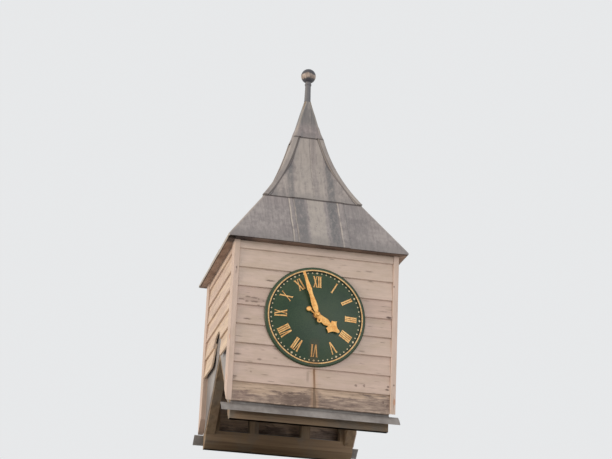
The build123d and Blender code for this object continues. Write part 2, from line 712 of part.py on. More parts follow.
def save_all():
    os.makedirs("parts", exist_ok=True)
    save("sill_front", sill())
    save("sill_back", turned(sill(), 2))
    save("sole_rakes_front", sole_rakes())
    save("sole_rakes_back", turned(sole_rakes(), 2))
    for name_y, side_y in (("front", -1), ("back", 1)):
        for name_x, side_x in (("left", -1), ("right", 1)):
            save("post_" + name_y + "_" + name_x, post(side_x, side_y))
    save("plate_front", front_plate())
    save("plate_back", turned(front_plate(), 2))
    save("plate_left", left_plate())
    save("plate_right", turned(left_plate(), 2))
    save("studs", studs())
    save("dial_bearer", dial_bearer())
    save("tie_beam", tie_beam())
    save("wall_front", front_wall(True))
    save("wall_back", turned(front_wall(False), 2))
    save("wall_left", left_wall())
    save("wall_right", turned(left_wall(), 2))
    save("corner_boards", corner_boards())
    save("apron_front", apron())
    save("apron_back", turned(apron(), 2))
    save("flashing_left", left_flashing())
    save("flashing_right", turned(left_flashing(), 2))
    save("soffits_front_back", Compound([soffit(0), soffit(2)]))
    save("soffits_left_right", Compound([soffit(3), soffit(1)]))
    for quarter, name in enumerate(("front", "right", "back", "left")):
        save("boarding_" + name, boarding(quarter))
    save("mast", mast())
    save("hip_ribs", ribs(45, HEAD_Z, MAST / 2))
    save("face_ribs", ribs(0, FACE_RIB_TOP, FACE_RIB_CLEAR))
    save("lead_lower", lower_lead())
    save("lead_middle", middle_lead())
    save("lead_upper", upper_lead())
    save("hip_cappings", hip_cappings())
    save("finial_neck", finial_neck())
    save("finial_ball", finial_ball())
    save("dial_plate", dial_plate())
    save("minute_ring", minute_ring())
    save("numerals", numerals())
    save("dial_bush", dial_bush())
    save("hour_hand", hour_hand())
    save("hour_pipe", hour_pipe())
    save("minute_hand", minute_hand())
    save("minute_arbor", minute_arbor())


save_all()
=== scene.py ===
import math
import random

import bmesh
import bpy
from mathutils import Matrix, Vector, noise


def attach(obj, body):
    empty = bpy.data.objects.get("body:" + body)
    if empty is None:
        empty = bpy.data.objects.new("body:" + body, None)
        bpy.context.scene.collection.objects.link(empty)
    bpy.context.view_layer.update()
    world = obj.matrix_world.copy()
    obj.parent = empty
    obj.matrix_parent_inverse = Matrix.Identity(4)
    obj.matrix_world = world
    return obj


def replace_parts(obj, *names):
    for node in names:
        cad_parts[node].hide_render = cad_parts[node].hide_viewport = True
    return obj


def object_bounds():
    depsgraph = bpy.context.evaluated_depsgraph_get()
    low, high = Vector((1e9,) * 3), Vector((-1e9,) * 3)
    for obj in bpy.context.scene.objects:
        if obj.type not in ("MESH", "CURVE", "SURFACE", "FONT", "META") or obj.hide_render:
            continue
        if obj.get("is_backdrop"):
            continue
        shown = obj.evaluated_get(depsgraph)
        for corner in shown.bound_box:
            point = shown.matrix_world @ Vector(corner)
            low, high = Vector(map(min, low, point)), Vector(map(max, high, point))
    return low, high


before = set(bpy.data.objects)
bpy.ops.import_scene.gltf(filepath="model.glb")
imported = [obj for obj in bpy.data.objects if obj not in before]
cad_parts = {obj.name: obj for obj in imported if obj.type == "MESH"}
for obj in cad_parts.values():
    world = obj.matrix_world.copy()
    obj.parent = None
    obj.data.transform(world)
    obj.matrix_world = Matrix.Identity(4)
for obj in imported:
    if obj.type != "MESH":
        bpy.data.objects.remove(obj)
cad_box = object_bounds()


# Timber frame
# Sills, raking sole plates, posts, studs and plates of sawn softwood, halved and nailed together.
# It has never been painted, and in the dry it has gone grey-brown with darker bands of late growth.


class Socket:
    """A shader socket. A sum written with it adds the nodes that work it out."""

    def __init__(self, nodes, out):
        self.nodes = nodes
        self.out = out

    def maths(self, operation, first, second=0.0):
        return self.nodes.node("ShaderNodeMath", {"operation": operation}, {0: first, 1: second})

    def __add__(self, other):
        return self.maths("ADD", self, other)

    def __radd__(self, other):
        return self.maths("ADD", other, self)

    def __sub__(self, other):
        return self.maths("SUBTRACT", self, other)

    def __rsub__(self, other):
        return self.maths("SUBTRACT", other, self)

    def __mul__(self, other):
        return self.maths("MULTIPLY", self, other)

    def __rmul__(self, other):
        return self.maths("MULTIPLY", other, self)

    def __abs__(self):
        return self.maths("ABSOLUTE", self)

    def most(self, other):
        """The larger of the two."""
        return self.maths("MAXIMUM", self, other)

    def between(self, low, high, soft):
        """1 between two limits, with soft edges."""
        return self.above(low - soft, low + soft) * (1 - self.above(high - soft, high + soft))

    def above(self, low, high):
        """0 below the first limit, 1 over the second, a smooth step between."""
        inputs = {"Value": self, "From Min": low, "From Max": high}
        return self.nodes.node("ShaderNodeMapRange", {"interpolation_type": "SMOOTHSTEP"}, inputs)


class Nodes:
    """A node tree being filled. Its node method adds any node and gives back one of its sockets."""

    def __init__(self, tree):
        self.tree = tree

    def join(self, value, socket):
        """Link a socket, or set a number or colour."""
        if isinstance(value, Socket):
            self.tree.links.new(value.out, socket)
        elif socket.type == "RGBA":
            socket.default_value = (*value, 1)
        else:
            socket.default_value = value

    def node(self, kind, settings=None, inputs=None, output=0):
        """Any node: its settings are set first, then each input is set or linked."""
        made = self.tree.nodes.new(kind)
        for name, value in (settings or {}).items():
            if name == "stops":
                self.set_stops(made.color_ramp.elements, value)
            else:
                setattr(made, name, value)
        for name, value in (inputs or {}).items():
            self.join(value, made.inputs[name])
        return Socket(self, made.outputs[output])

    def set_stops(self, elements, stops):
        while len(elements) < len(stops):
            elements.new(1)
        for element, (place, colour) in zip(elements, stops):
            element.position = place
            element.color = (*colour, 1)


class Finish(Nodes):
    """A material being made."""

    def __init__(self, name):
        self.material = bpy.data.materials.new(name)
        self.material.use_nodes = True
        super().__init__(self.material.node_tree)
        self.shader = self.tree.nodes["Principled BSDF"]

    def place(self, scale=(1, 1, 1)):
        """The point on the object, in metres, stretched by a scale on each axis."""
        point = self.node("ShaderNodeTexCoord", output="Object")
        return self.node("ShaderNodeMapping", {}, {"Vector": point, "Scale": scale})

    def along(self, axis):
        """One of the three coordinates on the object, in metres."""
        point = self.node("ShaderNodeTexCoord", output="Object")
        return self.node("ShaderNodeSeparateXYZ", {}, {0: point}, output=axis)

    def noise(self, scale, detail=4.0, roughness=0.55):
        """Noise from 0 to 1, with the scale's number of features to the metre on each axis."""
        inputs = {"Vector": self.place(scale), "Scale": 1.0, "Detail": detail, "Roughness": roughness}
        return self.node("ShaderNodeTexNoise", {}, inputs)

    def vectors(self, operation, *inputs, output="Vector"):
        """Vector Math on points, or on a point and a number for each axis."""
        return self.node("ShaderNodeVectorMath", {"operation": operation}, dict(enumerate(inputs)), output)

    def attribute(self, name):
        return self.node("ShaderNodeAttribute", {"attribute_name": name}, output="Fac")

    def ramp(self, value, *stops):
        """The colour at a value, between stops that each give a place and a colour."""
        return self.node("ShaderNodeValToRGB", {"stops": stops}, {"Fac": value})

    def mix(self, share, first, second, blend="MIX"):
        settings = {"data_type": "RGBA", "blend_type": blend}
        return self.node("ShaderNodeMix", settings, {0: share, 6: first, 7: second}, output=2)

    def shade(self, colour, amount):
        """The colour made lighter or darker by an amount round 1."""
        grey = self.node("ShaderNodeCombineColor", {}, {0: amount, 1: amount, 2: amount})
        return self.mix(1.0, colour, grey, "MULTIPLY")

    def bump(self, height, strength, distance):
        inputs = {"Height": height, "Strength": strength, "Distance": distance}
        self.join(self.node("ShaderNodeBump", {}, inputs), self.shader.inputs["Normal"])

    def done(self, **links):
        """Set or link the shader's sockets of those names, and give back the material."""
        for name, value in links.items():
            self.join(value, self.shader.inputs[name.replace("_", " ")])
        return self.material


def tone(red, green, blue):
    """A colour by its 0 to 255 values as seen, turned into the light it gives back."""
    shares = (red / 255, green / 255, blue / 255)
    return tuple(v / 12.92 if v <= 0.04045 else ((v + 0.055) / 1.055) ** 2.4 for v in shares)


def grain_scale(axis, along, across):
    """A scale for noise drawn out along the grain's axis."""
    return tuple(along if name == axis else across for name in "xyz")


def sawn_timber(name, axis, brightness=1.0):
    """Bare sawn softwood with its grain along one axis; its last argument, below 1, darkens it as painted
    shade.
    """
    timber = Finish(name)
    rings = timber.noise(grain_scale(axis, 1.2, 26), detail=3)
    fibres = timber.noise(grain_scale(axis, 12, 420), detail=2)
    dust = timber.noise((6, 6, 6))
    colour = timber.ramp(rings, (0.30, tone(112, 92, 72)), (0.50, tone(146, 124, 99)),
                         (0.68, tone(126, 104, 82)))
    colour = timber.mix(dust.above(0.45, 0.75), colour, tone(128, 118, 106))
    colour = timber.shade(colour, 0.82 * brightness + fibres * 0.34 * brightness)
    timber.bump(fibres, 0.5, 0.0008)
    return timber.done(Base_Color=colour, Roughness=0.72 + fibres * 0.2)


def dress(material, *nodes):
    """Give CAD pieces a material, on the object and not on its mesh."""
    for name in nodes:
        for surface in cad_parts[name].material_slots:
            surface.link = "OBJECT"
            surface.material = material


level_timber = sawn_timber("sawn_timber_level", "x")
dress(level_timber, "sill_front", "sill_back", "plate_front", "plate_back", "dial_bearer", "tie_beam")
dress(sawn_timber("sawn_timber_across", "y"), "plate_left", "plate_right", "sole_rakes_front",
      "sole_rakes_back")
upright_timber = sawn_timber("sawn_timber_upright", "z")
dress(upright_timber, "post_front_left", "post_front_right", "post_back_left", "post_back_right",
      "studs", "mast", "hip_ribs", "face_ribs")


# Boarded walls
# Nine courses of feather-edge softwood, each butt lapped over the head of the board below and nailed
# to posts and studs. The cream paint is thin: grain, knots and splits show, and the lowest board is bare.

HALF = 0.457
CORNER_THICK = 0.030
CORNER_WIDE = 0.075
FRAME_FACE = HALF - CORNER_THICK
CORNER_EDGE = HALF - CORNER_WIDE
BOARDS = 9
BOARD_FOOT = 0.090
EXPOSURE = 0.1048
EAVES_BOARD = 0.0436
BOARD_LAP = 0.025
WALL_TOP = BOARD_FOOT + (BOARDS - 1) * EXPOSURE + EAVES_BOARD
HEAD_GAP = 0.0005
BUTT = 0.026
BUTT_ARRIS_IN = 0.0016
BUTT_ARRIS_UP = 0.0018
LAP_STEP = 0.010
BOARD_THICK = 0.0097
STATION = 0.012
ROWS = 8
LEAST_STRIP = 0.006
END_GAP = 0.0015
BUTT_WAVE = 0.0011
SAW_WAVE = 0.0004
FACE_WAVE = 0.00025
BOW = 0.0007
TILE_DEPTH = 0.080
ROOF_GAP = 0.037
RIDGE_TILE_RADIUS = 0.100
RIDGE_TILE_RISE = 0.055
RIDGE_GAP = 0.012
SIDE_FOOT = 3
WORN_FROM = 0.72
SHARP_FROM = math.radians(35)


def notch_height(along):
    """Lower end of the side boards: parallel with the roof, and round the ridge tile."""
    tiles = FRAME_FACE + TILE_DEPTH
    slope = tiles + ROOF_GAP - abs(along)
    arch = (RIDGE_TILE_RADIUS + RIDGE_GAP) ** 2 - along ** 2
    if arch <= 0:
        return slope
    return max(slope, tiles + RIDGE_TILE_RISE - RIDGE_TILE_RADIUS + math.sqrt(arch))


def wall_point(along, out, up):
    """A point of the front wall, by its distance out from the frame."""
    return Vector((along, -FRAME_FACE - out, up))


def waver(*place):
    """Smooth unevenness, round 0 and between -1 and 1."""
    return noise.noise(Vector(place))


def board_station(along, foot, low, high, seed):
    """The board's section at one place along it, as points round from the back of its butt."""
    def face(up):
        return BUTT - LAP_STEP * (up - foot) / EXPOSURE

    def back(up):
        return face(up) - BOARD_THICK

    bow = BOW * waver(along * 2.1, seed, 3.0)
    butt = low + BUTT_WAVE * waver(along * 4.3, seed, 0.0) + SAW_WAVE * waver(along * 31, seed, 9.0)
    front = face(low) + bow
    points = [(back(low), butt), (front - BUTT_ARRIS_IN, butt), (front, butt + BUTT_ARRIS_UP)]
    for row in range(1, ROWS + 1):
        up = low + (high - low) * row / ROWS
        points.append((face(up) + bow + FACE_WAVE * waver(along * 9, up * 60, seed), up))
    points.append((back(high), high))
    return [wall_point(along, out, up) for out, up in points]


def band(mesh, first, second):
    """Faces between two rings of points."""
    for i in range(len(first)):
        j = (i + 1) % len(first)
        mesh.faces.new((first[i], first[j], second[j], second[i]))


def loft(mesh, rings):
    """Skin over a row of rings of points, closed at both ends."""
    made = [[mesh.verts.new(point) for point in ring] for ring in rings]
    for first, second in zip(made, made[1:]):
        band(mesh, first, second)
    mesh.faces.new(made[0])
    mesh.faces.new(list(reversed(made[-1])))
    return made


def lay_board(mesh, index, left, right, notched, seed):
    """One board in the wall, in as many lengths as the roof's notch leaves of it."""
    foot = BOARD_FOOT + index * EXPOSURE
    high = min(foot + EXPOSURE + BOARD_LAP, WALL_TOP - HEAD_GAP)
    count = round((right - left) / STATION)
    run = []
    runs = [run]
    for step in range(count + 1):
        along = left + (right - left) * step / count
        low = max(foot, notch_height(along)) if notched else foot
        if low < high - LEAST_STRIP:
            run.append(board_station(along, foot, low, high, seed))
        elif run:
            run = []
            runs.append(run)
    lengths = []
    for run in runs:
        if len(run) > 1:
            lengths += [vert for ring in loft(mesh, run) for vert in ring]
    return lengths


def wear_of(along, up, seed):
    """How worn the paint is there: most at the ends of the boards."""
    blotch = 0.5 + 0.5 * waver(along * 3.5, up * 9, seed)
    end = max(0.0, abs(along) / FRAME_FACE - WORN_FROM) / (1 - WORN_FROM)
    return 0.10 + 0.22 * blotch + 0.30 * end * blotch


def piece(name, mesh, material):
    """The mesh made into a named piece that rides on the turret."""
    bmesh.ops.recalc_face_normals(mesh, faces=mesh.faces)
    data = bpy.data.meshes.new(name)
    mesh.to_mesh(data)
    mesh.free()
    data.shade_smooth()
    data.set_sharp_from_angle(angle=SHARP_FROM)
    made = bpy.data.objects.new(name, data)
    bpy.context.scene.collection.objects.link(made)
    data.materials.append(material)
    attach(made, "turret")
    return made


def quarter_turn(quarter):
    """The turn that carries the front to another side: right, back or left."""
    return Matrix.Rotation(math.radians(90 * quarter), 3, "Z")


def painted_boards(name, axis, paint, *marks, sunlit_mottle=False):
    """Thin paint over the grain, worn through where the wear value is high, and marks on it."""
    boards = Finish(name)
    which = boards.attribute("board")
    wear = boards.attribute("wear")
    fibres = boards.noise(grain_scale(axis, 9, 330), detail=3)
    bands = boards.noise(grain_scale(axis, 2.2, 60), detail=3)
    patches = boards.noise(grain_scale(axis, 7, 22), detail=5, roughness=0.65)
    splits = boards.noise(grain_scale(axis, 13, 118), detail=2, roughness=0.4)
    lines = boards.noise(grain_scale(axis, 4.5, 150), detail=3, roughness=0.6)
    colour = boards.mix(which, paint, tone(192, 168, 155))
    colour = boards.shade(colour, 0.74 + which * 0.03 + bands * 0.24 + lines * 0.26)
    colour = boards.mix(patches.above(0.44, 0.66) * 0.50, colour, tone(184, 164, 144))
    colour = boards.mix((1 - patches.above(0.30, 0.50)) * 0.45, colour, tone(210, 186, 172))
    # On the side boards: pale patches of painted sunlight over darker flecks of weathered paint.
    if sunlit_mottle:
        sunlit_and_weathered = boards.noise(grain_scale(axis, 5, 44), detail=6, roughness=0.70)
        colour = boards.mix(sunlit_and_weathered.above(0.44, 0.62) * 0.42, colour, tone(230, 206, 174))
        colour = boards.mix((1 - sunlit_and_weathered.above(0.34, 0.50)) * 0.38, colour, tone(176, 150, 126))
    bare = boards.ramp(bands, (0.32, tone(92, 76, 68)), (0.52, tone(143, 121, 107)),
                       (0.66, tone(112, 92, 82)))
    bare = boards.shade(bare, 0.72 + fibres * 0.55)
    worn = (wear + patches * 0.95 + fibres * 0.25).above(1.12, 1.40)
    colour = boards.mix(worn, colour, bare)
    split = splits.above(0.66, 0.76)
    colour = boards.mix(split * 0.6, colour, tone(118, 98, 88))
    for mark in marks:
        colour = mark(boards, colour)
    colour = boards.shade(colour, 0.91 + fibres * 0.18)
    boards.bump(fibres * 0.5 + worn * -0.6 + split * -1.5, 0.5, 0.0008)
    return boards.done(Base_Color=colour, Roughness=0.62 + worn * 0.25)


# Places across, in metres from half a metre left of the middle, and how far up the board is bare there.
PAINT_LIMIT = ((0.07, 0.60), (0.17, 0.44), (0.25, 0.50), (0.41, 0.60), (0.47, 0.90),
               (0.53, 0.84), (0.56, 0.55), (0.70, 0.64), (0.82, 0.86), (0.93, 0.98))


def weathered_foot(boards, colour):
    """The lowest board: paint left along its upper edge, bare timber and flecks of paint below."""
    rise = boards.attribute("rise")
    across = boards.along("X")
    mottle = boards.noise((13, 13, 46), detail=6, roughness=0.68)
    grain = boards.noise((10, 10, 150), detail=4, roughness=0.6)
    flecks = boards.noise((38, 38, 95), detail=3, roughness=0.6)
    limit = boards.ramp(across + 0.5, *((place, (height,) * 3) for place, height in PAINT_LIMIT))
    bare = boards.ramp(mottle * 0.62 + grain * 0.38,
                       (0.37, tone(104, 87, 78)), (0.46, tone(136, 117, 105)),
                       (0.55, tone(162, 142, 127)), (0.66, tone(192, 171, 153)))
    darkest = across.between(-0.20, 0.04, 0.08)
    bare = boards.mix(darkest * 0.60, bare, tone(92, 73, 63))
    purple = 1 - across.above(-0.40, -0.24)
    bare = boards.mix(purple * 0.30, bare, tone(134, 106, 98))
    kept_paint = (rise + (mottle - 0.5) * 1.5 + (grain - 0.5) * 0.4 - limit).above(-0.20, 0.16)
    tan = boards.mix(grain.above(0.40, 0.62), tone(170, 147, 127), tone(196, 171, 149))
    foot = boards.mix(kept_paint, bare, tan)
    lip = (1 - rise.above(0.04, 0.13)) * flecks.above(0.50, 0.60)
    fleck = flecks.above(0.57, 0.68) * (0.40 + purple * 0.45)
    foot = boards.mix(lip.most(fleck) * 0.65, foot, tone(190, 167, 148))
    return boards.mix(boards.attribute("lowest"), colour, foot)


MARKS_Y = -0.455
MARKS_DEEP = 0.5
SHAKE = (0.018, 0.0, 0.007)
# Each mark's middle across and up and its half width and height, in millimetres, and its darkness.
KNOTS_AND_CRACKS = (
    (-252, 760, 33, 5, 0.7), (-367, 659, 20, 5.5, 0.6), (-333, 656, 26, 6, 0.65),
    (-403, 643, 20, 6, 0.55), (-373, 633, 13, 6.5, 0.65), (-331, 635, 30, 6, 0.7),
    (-283, 643, 10, 4.5, 0.6), (-310, 617, 10, 4.5, 0.5), (-266, 621, 5, 5, 0.65),
    (-309, 651, 5, 6, 0.7), (-366, 537, 27, 5.5, 0.7), (290, 872, 28, 5, 0.45),
    (233, 866, 14, 4, 0.3), (409, 622, 19, 7.5, 0.95), (380, 654, 45, 3, 0.35),
    (304, 563, 18, 3.5, 0.35), (-417, 220, 15, 6, 0.55), (-331, 252, 8, 6, 0.35),
    (237, 230, 9, 8.5, 0.6), (283, 234, 6, 11, 0.6), (415, 240, 9, 8, 0.75),
    (409, 222, 13, 6, 0.8), (391, 152, 6, 10, 0.7), (415, 136, 12, 12, 0.65),
    (-40, 160, 8, 4.5, 0.6), (-408, 341, 28, 6, 0.65), (-290, 322, 14, 7.5, 0.5),
    (-204, 337, 14, 4.5, 0.3), (-335, 645, 90, 19, 0.26),
)


def ragged_place(boards):
    """The point on the object, shaken so that the marks made with it get ragged edges."""
    inputs = {"Vector": boards.place((60, 60, 160)), "Scale": 1.0}
    shake = boards.node("ShaderNodeTexNoise", {}, inputs, output="Color")
    shaken = boards.vectors("MULTIPLY_ADD", shake, SHAKE, boards.place())
    return boards.vectors("SUBTRACT", shaken, tuple(size / 2 for size in SHAKE))


def oval(boards, place, centre, reach):
    """1 in the middle of an oval mark, 0 outside it."""
    off = boards.vectors("DIVIDE", boards.vectors("SUBTRACT", place, centre), reach)
    return 1 - boards.vectors("LENGTH", off, output="Value").above(0.45, 1.1)


def strongest(masks):
    """The largest of several masks at each point."""
    largest = masks[0]
    for mask in masks[1:]:
        largest = largest.most(mask)
    return largest


def knots_and_cracks(boards, colour):
    """Dark knots, splits and chipped ends of the front boards."""
    place = ragged_place(boards)
    marks = []
    for x, z, wide, high, dark in KNOTS_AND_CRACKS:
        centre = (x / 1000, MARKS_Y, z / 1000)
        reach = (wide / 1000, MARKS_DEEP, high / 1000)
        marks.append(oval(boards, place, centre, reach) * dark)
    return boards.mix(strongest(marks), colour, tone(84, 62, 52))


STREAK_FOOT = 0.0215
STREAK_LEAN = -0.045
STREAK_TOP = 0.306
STAIN_X = -0.0255


def rust_streak(boards, colour):
    """Brown run of rust down the boards under the dial, and a fainter stain beside it."""
    height = boards.along("Z")
    across = boards.along("X")
    wander = boards.noise((1, 1, 40), detail=2)
    spread = (1 - height.above(0.11, 0.20)) * 0.004
    off = abs(across - STREAK_FOOT - height * STREAK_LEAN - (wander - 0.5) * 0.006) - spread
    below = 1 - height.above(STREAK_TOP - 0.012, STREAK_TOP)
    strong = height.above(0.14, 0.27) * 0.30 + 0.62
    run = (1 - off.above(0.0025, 0.0085)) * below * strong
    halo = (1 - off.above(0.005, 0.028)) * below * 0.35
    stain = (1 - abs(across - STAIN_X).above(0.003, 0.010)) * height.between(0.226, 0.282, 0.012) * 0.35
    colour = boards.mix(halo, colour, tone(196, 158, 122))
    colour = boards.mix(stain, colour, tone(120, 100, 84))
    rust = boards.mix(height.above(0.17, 0.21), tone(88, 70, 52), tone(128, 92, 62))
    return boards.mix(run, colour, rust)


cream = tone(203, 182, 167)
front_paint = painted_boards("front_boards_paint", "x", cream, weathered_foot, knots_and_cracks,
                             rust_streak)
back_paint = painted_boards("back_boards_paint", "x", cream, weathered_foot)
# The side boards' paint is a warmer, lighter copy of the front's: painted sunlight.
sunlit_side_paint = painted_boards("side_boards_sunlit_paint", "y", tone(208, 184, 160), sunlit_mottle=True)
random.seed(11)
for quarter, side in enumerate(("front", "right", "back", "left")):
    wall = bmesh.new()
    board_shade = wall.verts.layers.float.new("board")
    board_wear = wall.verts.layers.float.new("wear")
    board_rise = wall.verts.layers.float.new("rise")
    lowest = wall.verts.layers.float.new("lowest")
    sideways = quarter in (1, 3)
    reach = CORNER_EDGE if sideways else FRAME_FACE
    for index in range(SIDE_FOOT if sideways else 0, BOARDS):
        seed = 10.0 * quarter + index * 1.7
        left = -reach + END_GAP * (0.4 + random.random())
        right = reach - END_GAP * (0.4 + random.random())
        shade = random.random()
        for vert in lay_board(wall, index, left, right, sideways, seed):
            vert[board_shade] = shade
            vert[board_wear] = wear_of(vert.co.x, vert.co.z, seed)
            vert[board_rise] = (vert.co.z - BOARD_FOOT - index * EXPOSURE) / EXPOSURE
            vert[lowest] = 0.0 if index else 1.0
    bmesh.ops.rotate(wall, matrix=quarter_turn(quarter), verts=wall.verts)
    paint = (front_paint, sunlit_side_paint, back_paint, sunlit_side_paint)[quarter]
    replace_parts(piece("boards_" + side, wall, paint), "wall_" + side)


# Corner boards and eaves soffit
# The same painted softwood, planed, nailed upright on the corners, and a level soffit under the eaves
# that has lost most of its paint. The soffit's front left corner is missing; painted shade darkens the
# soffit near it and along the front and back.

CORNER_ROWS = 60
ARRIS = 0.0018
CORNER_BOW = 0.0006
NAIL_HEADS = ((-0.440, -HALF, 0.814), (0.444, -HALF, 0.2485), (0.432, -HALF, 0.798))
NAIL_REACH = (0.0055, 0.02, 0.0065)
RUST_SPOTS = ((-HALF, -0.439, 0.214), (-HALF, -0.451, 0.427), (0.450, -HALF, 0.158))
RUST_REACH = (0.010, 0.008, 0.022)


def rusted_nails(boards, colour):
    """Nail heads in the corner boards' edges, and rust from nails down their faces."""
    place = boards.place()
    heads = strongest([oval(boards, place, head, NAIL_REACH) for head in NAIL_HEADS])
    rust = strongest([oval(boards, place, spot, RUST_REACH) for spot in RUST_SPOTS])
    colour = boards.mix(rust * 0.6, colour, tone(180, 118, 76))
    return boards.mix(heads * 0.75, colour, tone(96, 76, 68))


def corner_ring(share, seed):
    """Section of a corner board with its four edges taken off, the foot cut to the roof slope."""
    outline = []
    for out, to_front in ((0, 0), (1, 0), (1, 1), (0, 1)):
        x = FRAME_FACE + out * CORNER_THICK
        y = CORNER_EDGE + to_front * CORNER_WIDE
        ends = [(x + ARRIS * (1 - 2 * out), y), (x, y + ARRIS * (1 - 2 * to_front))]
        outline += ends if out != to_front else list(reversed(ends))
    points = []
    for x, y in outline:
        foot = BOARD_FOOT + HALF - y
        up = foot + share * (WALL_TOP - foot)
        bow = CORNER_BOW * waver(seed, up * 3.0, 0.0)
        points.append(Vector((x - CORNER_BOW + bow, -y + CORNER_BOW + bow, up)))
    return points


corner_mesh = bmesh.new()
corner_shade = corner_mesh.verts.layers.float.new("board")
corner_wear = corner_mesh.verts.layers.float.new("wear")
for corner in range(4):
    rings = []
    for row in range(CORNER_ROWS + 1):
        ring = corner_ring(row / CORNER_ROWS, 5.0 * corner)
        if corner % 2:
            ring = [Vector((-point.x, point.y, point.z)) for point in ring]
        if corner > 1:
            ring = [Vector((point.x, -point.y, point.z)) for point in ring]
        rings.append(ring)
    for ring in loft(corner_mesh, rings):
        for vert in ring:
            low_end = max(0.0, 1 - (vert.co.z - BOARD_FOOT) / 0.25)
            blotch = waver(vert.co.x * 8, vert.co.y * 8, vert.co.z * 5)
            vert[corner_shade] = 0.25 + 0.12 * corner
            vert[corner_wear] = 0.12 + 0.25 * low_end + 0.14 * blotch
corner_paint = painted_boards("corner_boards_paint", "z", tone(206, 183, 168), rusted_nails)
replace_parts(piece("corner_boards_painted", corner_mesh, corner_paint), "corner_boards")


def worn_soffit(name, axis, dry, damp):
    """Thin brownish remains of paint over damp timber, painted black towards the front left corner as
    shadow.
    """
    soffit = Finish(name)
    fibres = soffit.noise(grain_scale(axis, 9, 300), detail=3)
    stains = soffit.noise((9, 9, 9), detail=4)
    colour = soffit.ramp(stains, (0.34, dry), (0.60, damp))
    # Painted shadow: black towards the soffit's front left corner.
    corner = (1 - soffit.along("X").above(-0.42, -0.30)) * (1 - soffit.along("Y").above(-0.42, -0.36))
    colour = soffit.mix(corner * 0.8, colour, tone(34, 25, 27))
    colour = soffit.shade(colour, 0.84 + fibres * 0.30)
    soffit.bump(fibres, 0.4, 0.0008)
    return soffit.done(Base_Color=colour, Roughness=0.72 + fibres * 0.18)


# The front and back soffits are painted darker as painted shade, the side soffits lighter as painted
# light.
shaded_level_soffit = worn_soffit("soffit_timber_level_shaded", "x", tone(88, 68, 58), tone(116, 94, 80))
dress(shaded_level_soffit, "soffits_front_back")
lit_across_soffit = worn_soffit("soffit_timber_across_lit", "y", tone(134, 108, 92), tone(166, 140, 122))
dress(lit_across_soffit, "soffits_left_right")


# Spire boarding
# Sawn boards nailed side by side over the ribs to carry the lead. They are seen only from below,
# through the open base, and lie in their own shade, which is also painted into their colour.

# Painted shade: the boarding timber is darkened to 0.55 of the frame timber's brightness.
dress(sawn_timber("spire_boarding_level", "x", brightness=0.55), "boarding_front", "boarding_back")
dress(sawn_timber("spire_boarding_across", "y", brightness=0.55), "boarding_left", "boarding_right")


# Lead spire
# Milled sheet dressed by hand over the boarding, in three tiers that lap downwards, the lowest tier's
# middle sheets over their neighbours. Dull warm grey, with dark runs and chalky salts at the laps.

OVERHANG = 0.043
EAVES_LIFT = 0.014
LEAD_DROP = 0.010
LOW_PITCH = math.radians(55.8)
HIGH_PITCH = math.radians(76.5)
EAVES_HALF = HALF + OVERHANG
EAVES_Z = WALL_TOP + EAVES_LIFT
KNEE_Z = 1.31119
CURVE_HALF = 1.38906
CURVE_Z = 2.06559
CURVE_RADIUS = 1.34214
CROWN_HALF = 0.084
CROWN_Z = 1.75227
UPPER_LAP_Z = 1.76427
NECK_Z = 2.0189
LEAD = 0.003
LAP = 0.075
LAP_SHOULDER = 0.012
SEAM_LEFT = -0.112
SEAM_RIGHT = 0.168
SEAM_EDGE = 0.001
SEAM_SIDE = 0.010
SEAM_COLUMNS = (12, 1, 1, 1, 16, 1, 1, 1, 11)
PLAIN_COLUMNS = 24
TIER_STEP = 0.012
CORNER_STEPS = 4
EAVES_ROUND = 0.008
HIP_ROUND = 0.006
NECK_ROUND = 0.018
FACE_SHIFTS = (0.0, 0.035, -0.05, -0.02)
LEFT_LIP = 0.0075
CAPPED = 0.032
FLARE = 0.0045
FLARE_HIGH = 0.045
LAP_SHADE = 0.010
LIP_IN = 0.0004
LIP_FOOT = EAVES_Z - LEAD_DROP + 0.0025
LIP_BEND = EAVES_Z - LEAD_DROP + 0.006
EDGE_WAVE = 0.0016
TOP_EDGE_WAVE = 0.0014
SHEET_STEP = 0.0018
DENT = 0.0011
FINE_DENT = 0.0005
EASE = 0.02
LEFT_FACE = 3


def spire_station(up):
    """Half width and pitch of the spire at a height."""
    if up < KNEE_Z:
        return EAVES_HALF - (up - EAVES_Z) / math.tan(LOW_PITCH), LOW_PITCH
    if up < CROWN_Z:
        pitch = math.acos((CURVE_Z - up) / CURVE_RADIUS)
        return CURVE_HALF - CURVE_RADIUS * math.sin(pitch), pitch
    return CROWN_HALF - (up - CROWN_Z) / math.tan(HIGH_PITCH), HIGH_PITCH


def between_stations(low, high):
    """Heights of the level lines, with about the same length of slope between them."""
    heights = [low]
    while heights[-1] < high:
        pitch = spire_station(heights[-1])[1]
        heights.append(heights[-1] + TIER_STEP * math.sin(pitch))
    return heights[:-1] + [high]


def seam_columns(reach):
    """Places across a face, close together at the two seams."""
    limits = [-reach]
    for seam in (SEAM_LEFT, SEAM_RIGHT):
        limits += [seam - SEAM_SIDE, seam - SEAM_EDGE, seam + SEAM_EDGE, seam + SEAM_SIDE]
    limits.append(reach)
    places = []
    for first, last, steps in zip(limits, limits[1:], SEAM_COLUMNS):
        places += [first + (last - first) * step / steps for step in range(steps)]
    return places + [reach]


def plain_columns(reach):
    """Places across a face, all the same distance apart."""
    return [reach * (2 * step / PLAIN_COLUMNS - 1) for step in range(PLAIN_COLUMNS + 1)]


